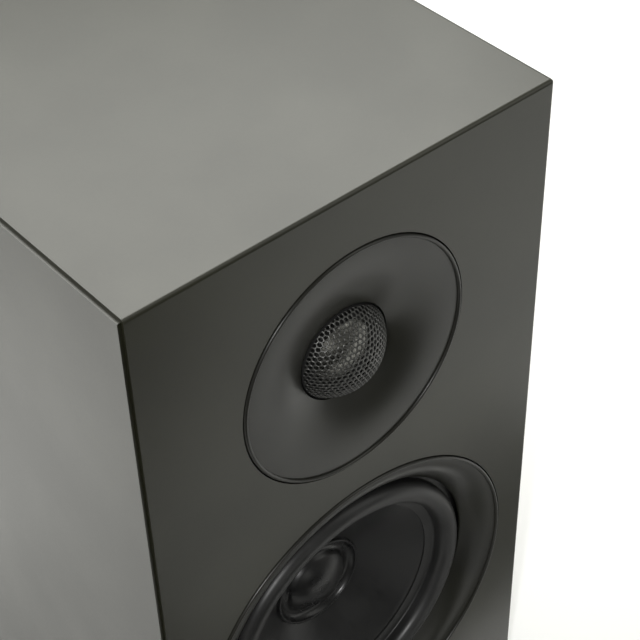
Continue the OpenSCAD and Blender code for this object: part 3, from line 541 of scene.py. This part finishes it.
# the dome's roll: a small arch of cloth, then a flange down to the top plate
cloth_mid = DOME_R + CLOTH_HALF


def cloth_arch(half, rise):
    """Arch round cloth_mid, half wide each way: half cos a across, rise sin a up."""
    a = np.radians(np.linspace(180, 0, 17))
    return np.stack([cloth_mid + half * np.cos(a),
                     DOME_BASE + CLOTH_LIFT + rise * np.sin(a)], 1)


cloth_flange = np.array([[cloth_mid + CLOTH_FLANGE, DOME_BASE + CLOTH_STEP],
                         [cloth_mid + CLOTH_FLANGE, CLOTH_SEAT],
                         [cloth_mid + CLOTH_IN_HALF, CLOTH_SEAT]])
cloth_loop = np.vstack([cloth_arch(CLOTH_HALF, CLOTH_RISE), cloth_flange,
                        cloth_arch(CLOTH_IN_HALF, CLOTH_IN_RISE)[::-1]])
roll = turned("tweeter_roll", cloth_loop, TWEETER, turns=128)
dress(roll, TREATED_CLOTH)
radial_blend(roll)
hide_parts("tweeter_surround")

# ---------------------------------------------------------------- woofer's springs and leads
# spider: corrugated disc, stretched between the basket's shelf and the coil former; its
# waves fade to nothing right at both ends
disc_r = np.linspace(NECK_R + 0.1, SPIDER_R, 90)
across = (disc_r - disc_r[0]) / (SPIDER_R - disc_r[0])
wavy = np.minimum(across, 1 - across) > 0.02
disc_z = SPIDER_Z - SPIDER_WAVE * np.sin(across * HALF_WAVES * np.pi) * wavy
disc = np.stack([disc_r, disc_z], 1)
disc_loop = np.vstack([disc + [0, SPIDER_HALF_T],
                       [[SHELF_R, SPIDER_TOP], [SHELF_R, SHELF_Z], [SPIDER_R, SHELF_Z]],
                       disc[::-1][1:] - [0, SPIDER_HALF_T]])
spider = turned("woofer_spider_disc", disc_loop, WOOFER, turns=128, sharp=60)
dress(spider, SPIDER_CLOTH)
radial_blend(spider)
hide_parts("woofer_spider")

# braided leads from the tags to the cone's back: (radius, height) of the points they pass
LEAD_POINTS = np.array([[47.2, -38.6], [42, -33], [34, -33], [26, -26.5]])
LEAD_GAP, LEAD_R, LEAD_SIDES, LEAD_RINGS = 7.0, 0.7, 12, 37


def tinsel_leads(name):
    """Two tubes, LEAD_GAP apart, each on the Catmull-Rom curve through LEAD_POINTS: ring k is
    centre + LEAD_R (cos a up, sin a across the curve). Both ends are closed."""
    p = np.vstack([2 * LEAD_POINTS[0] - LEAD_POINTS[1], LEAD_POINTS,
                   2 * LEAD_POINTS[-1] - LEAD_POINTS[-2]])
    spans = len(LEAD_POINTS) - 1
    u = np.linspace(0, spans, LEAD_RINGS)
    k = np.minimum(u.astype(int), spans - 1)
    t = (u - k)[:, None]
    line = 0.5 * (2 * p[k + 1] + (p[k + 2] - p[k]) * t
                  + (2 * p[k] - 5 * p[k + 1] + 4 * p[k + 2] - p[k + 3]) * t ** 2
                  + (3 * p[k + 1] - p[k] - 3 * p[k + 2] + p[k + 3]) * t ** 3)
    along = np.gradient(line, axis=0)
    along /= np.linalg.norm(along, axis=1)[:, None]
    a = np.linspace(0, 2 * np.pi, LEAD_SIDES, endpoint=False)
    x = line[:, :1] - along[:, 1:] * LEAD_R * np.sin(a)
    y = line[:, 1:] + along[:, :1] * LEAD_R * np.sin(a)
    z = np.repeat(LEAD_R * np.cos(a)[None], len(line), 0)
    tube = np.stack([x, -y, z], -1).reshape(-1, 3)
    i, j = np.meshgrid(np.arange(len(line) - 1) * LEAD_SIDES, np.arange(LEAD_SIDES),
                       indexing="ij")
    j2 = (j + 1) % LEAD_SIDES
    quads = np.stack([i + j, i + j2, i + LEAD_SIDES + j2, i + LEAD_SIDES + j], -1)
    quads = quads.reshape(-1, 4).tolist()
    quads += [list(range(LEAD_SIDES)), list(range(len(tube) - LEAD_SIDES, len(tube)))]
    up = np.array([0, 0, LEAD_GAP / 2])
    verts = np.vstack([tube - up, tube + up]) * MM + np.array(WOOFER)
    return new_mesh(name, verts, quads + [[v + len(tube) for v in f] for f in quads])


leads = dress(tinsel_leads("woofer_lead_wires"), BRAID)
radial_blend(leads)
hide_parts("woofer_tinsel_leads")

# ---------------------------------------------------------------- rear
quarter = np.radians(np.linspace(0, 90, 17))
mouth = np.stack([PORT_R + PORT_FLARE * (1 - np.cos(quarter)),
                  FLANGE_T - PORT_FLARE + PORT_FLARE * np.sin(quarter)], 1)
mouth_r = PORT_R + PORT_FLARE
port_edge = soften([[mouth_r + FLANGE_FLAT, FLANGE_T], [FLANGE_R, FLANGE_T], [FLANGE_R, 0],
                    [mouth_r, 0]], 0.7, closed=False)
port_loop = np.vstack([
    [[PORT_R, -PORT_L], [PORT_R, PORT_BORE_END]], mouth, port_edge,
    [[PORT_R + PORT_WALL, PORT_BACK], [PORT_R + PORT_WALL, -PORT_L]]])
fit(turned("port_flared_tube", port_loop, PORT, out=1, turns=160), GRAINED, "cabinet",
    "port_tube")

cup_back = -CUP_DEPTH - CUP_FLOOR
cup = soften([[0, -CUP_DEPTH], [CUP_R - CUP_TAPER, -CUP_DEPTH], [CUP_R, FLANGE_T],
              [FLANGE_R, FLANGE_T], [FLANGE_R, 0], [CUP_R + CUP_WALL, 0],
              [CUP_R + CUP_WALL, cup_back], [0, cup_back]], 1.2, closed=False)
fit(turned("terminal_dish", cup, CUP, out=1, turns=160, closed=False), GRAINED, "cabinet",
    "terminal_cup")


def ribs(a, r, h):
    """Rounded grip ribs round the outside of a cap, over the stretch from RIB_INNER to
    RIB_OUTER: the radius grows by RIB_RISE cos(RIB_COUNT a) ^ 0.6 where that is over 0."""
    outside = (r > RIB_MIN_R) & (h < RIB_OUTER) & (h > RIB_INNER)
    return np.where(outside, RIB_RISE * np.maximum(0, np.cos(RIB_COUNT * a)) ** 0.6, 0)


for side, tone in (("red", GLOSS_RED), ("black", GLOSS_BLACK)):
    lo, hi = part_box("post_cap_" + side)
    c = Vector(((lo.x + hi.x) / 2, REAR_Y, (lo.z + hi.z) / 2))
    h0 = (lo.y - REAR_Y) / MM
    collar = soften([[POST_BORE_R, h0], [POST_COLLAR_R, h0], [POST_COLLAR_R, h0 + 1.5],
                     [POST_BODY_R, h0 + 1.7]], 0.3, closed=False)
    grip = np.stack([np.full(14, POST_BODY_R), np.linspace(h0 + 1.8, -4.3, 14)], 1)
    nose = soften([[POST_BODY_R, -4.2], [POST_NOSE_R, POST_TOP], [SOCKET_R, POST_TOP],
                   [SOCKET_R, SOCKET_FLOOR], [POST_BORE_R, SOCKET_FLOOR]], 0.5, closed=False)
    fit(turned(f"{side}_ribbed_cap", np.vstack([collar, grip, nose]), c, out=1, turns=216,
               wave=ribs), tone, f"{side}_post_cap", "post_cap_" + side)

# feet: turned rubber pads with a rounded lower edge
lo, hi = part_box("rubber_feet")
foot_h = (hi.z - lo.z) / MM
pad = soften([[0, 0], [FOOT_R - FOOT_CHAMFER[0], 0], [FOOT_R, FOOT_CHAMFER[1]],
              [FOOT_R, foot_h], [0, foot_h]], 0.9, closed=False)
for k, (x, y) in enumerate([(lo.x, lo.y), (hi.x, lo.y), (lo.x, hi.y), (hi.x, hi.y)]):
    cx = x + math.copysign(FOOT_R * MM, -x)
    cy = y + math.copysign(FOOT_R * MM, -y)
    v, f = turned_grid(pad, (0, 0, 0), 1, 64, closed=False)
    v = np.stack([v[:, 0] + cx, v[:, 2] + cy, v[:, 1] + lo.z], 1)
    foot = new_mesh(f"foot_pad_{k}", v, f)
    if k == 0:
        fit(foot, RUBBER, "cabinet", "rubber_feet")
    else:
        fit(foot, RUBBER, "cabinet")

# ---------------------------------------------------------------- floor, light, camera


def flat_piece(name, outline, height):
    """One flat face at a height; outline is (x, y) in metres."""
    mesh = bpy.data.meshes.new(name)
    mesh.from_pydata([(x, y, height) for x, y in outline], [], [tuple(range(len(outline)))])
    piece = bpy.data.objects.new(name, mesh)
    bpy.context.scene.collection.objects.link(piece)
    return piece


def matt(name, albedo, rough, specular):
    """Plain grey material."""
    m, t = new_material(name)
    s = node(t, "ShaderNodeBsdfPrincipled", {"Base Color": (albedo, albedo, albedo, 1),
             "Roughness": rough, "Specular IOR Level": specular})
    node(t, "ShaderNodeOutputMaterial", {"Surface": s.outputs[0]})
    return m


FLOOR = 6
floor = flat_piece("studio_floor", [(-FLOOR, -FLOOR), (FLOOR, -FLOOR), (FLOOR, FLOOR),
                                    (-FLOOR, FLOOR)], 0)
dress(floor, matt("white_paper_sweep", 0.92, 0.9, 0.5))


def aimed(name, data, at, look):
    """Puts a lamp at a place, turned to face another."""
    lamp = bpy.data.objects.new(name, data)
    lamp.location = at
    lamp.rotation_euler = (Vector(look) - Vector(at)).to_track_quat("-Z", "Y").to_euler()
    bpy.context.scene.collection.objects.link(lamp)


def softbox(name, at, look, size, power, tint=(1, 1, 1)):
    """Rectangular studio light, size in metres and power in watts."""
    data = bpy.data.lights.new(name, "AREA")
    data.shape = "RECTANGLE"
    data.size, data.size_y = size
    data.energy = power
    data.color = tint
    aimed(name, data, at, look)


def snoot(name, at, look, power, angle, blend):
    """Lamp with a narrow beam, angle degrees wide, that lights one place only."""
    data = bpy.data.lights.new(name, "SPOT")
    data.energy, data.spot_size, data.spot_blend = power, math.radians(angle), blend
    data.shadow_soft_size = 0.04
    aimed(name, data, at, look)


WARM = (1.0, 1.0, 0.95)
FRONT_LAMP = (-1.25, -1.14, 1.17)
softbox("overhead", (0.45, 0.84, 1.72), (0, 0, 0.33), (1.5, 1.5), 38, WARM)
softbox("left_rear", (-0.66, 0.66, 0.98), (-0.09, 0.0, 0.3), (1.1, 0.6), 8.5, WARM)
softbox("right", (1.2, 0.1, 0.8), (0.25, -0.1, 0), (0.5, 0.5), 2.5)
softbox("front_top", (0.7, -0.86, 1.2), (0, -0.13, 0.33), (0.6, 1.7), 3.2, WARM)
softbox("front_card", (-0.25, -1.5, 0.3), (0, -0.13, 0.2), (0.5, 0.4), 0.5, WARM)
softbox("window", FRONT_LAMP, (-0.09, -0.13, 0.33), (0.12, 0.12), 1.8)
snoot("front_snoot", FRONT_LAMP, (0, FRONT_Y, 0.24), 40, 12, 0.3)
snoot("left_floor_snoot", (-0.7, -0.1, 1.0), (-0.2, 0.08, 0), 16, 26, 1.0)

CARD_HEIGHT = 0.003


def card(name, outline, albedo):
    """Matt card flat on the floor, painted shade of the floor in front, which only
    reflections see (not the camera, diffuse light or shadows): the glossy front mirrors it
    and stays dark there."""
    piece = flat_piece(name, outline, CARD_HEIGHT)
    dress(piece, matt(name + "_painted_shade", albedo, 1.0, 0.0))
    piece.visible_camera = piece.visible_diffuse = piece.visible_shadow = False


# Painted shade: cards on the floor in front of the cabinet, darker than the floor, stand in
# for the shade there and only the glossy surfaces mirror them; the black one is the deepest
# shade, the mid-grey one the lightest.
card("black_painted_shade_card", [(-0.9, -1.4), (0.9, -1.4), (0.9, -0.75), (0.28, -0.6), (0.13, -0.42),
                    (-0.02, -0.34), (-0.02, -0.22), (-0.9, -0.22)], 0.005)
card("mid_grey_painted_shade_card", [(-0.02, -0.24), (0.04, -0.24), (0.04, -0.14), (-0.02, -0.14)], 0.55)
card("dark_grey_painted_shade_card", [(0.04, -0.24), (0.22, -0.24), (0.22, -0.16), (0.04, -0.16)], 0.14)

world = bpy.data.worlds.new("studio")
bpy.context.scene.world = world
world.use_nodes = True
world.node_tree.nodes.clear()
sky = node(world.node_tree, "ShaderNodeBackground", {"Color": (*WARM, 1), "Strength": 0.18})
node(world.node_tree, "ShaderNodeOutputWorld", {"Surface": sky.outputs[0]})

# camera: left of, in front of and above the cabinet's top front edge, in cabinet widths
EYE = (-1.5307, -1.7470, 1.8232)
AZIMUTH, ELEVATION, ROLL = 39.574, 42.403, -1.859
SENSOR_MM, LENS_MM, NEAR = 36, 96.1, 0.05
data = bpy.data.cameras.new("studio_camera")
data.sensor_width = SENSOR_MM
data.lens = LENS_MM
data.clip_start = NEAR
camera = bpy.data.objects.new("studio_camera", data)
bpy.context.scene.collection.objects.link(camera)
turn = (Matrix.Rotation(math.radians(-AZIMUTH), 4, "Z")
        @ Matrix.Rotation(math.radians(90 - ELEVATION), 4, "X")
        @ Matrix.Rotation(math.radians(ROLL), 4, "Z"))
eye = Vector(EYE) * WIDTH + Vector((0, FRONT_Y, TOP_Z))
camera.matrix_world = Matrix.Translation(eye) @ turn
bpy.context.scene.camera = camera
bpy.context.scene.view_settings.view_transform = "Standard"
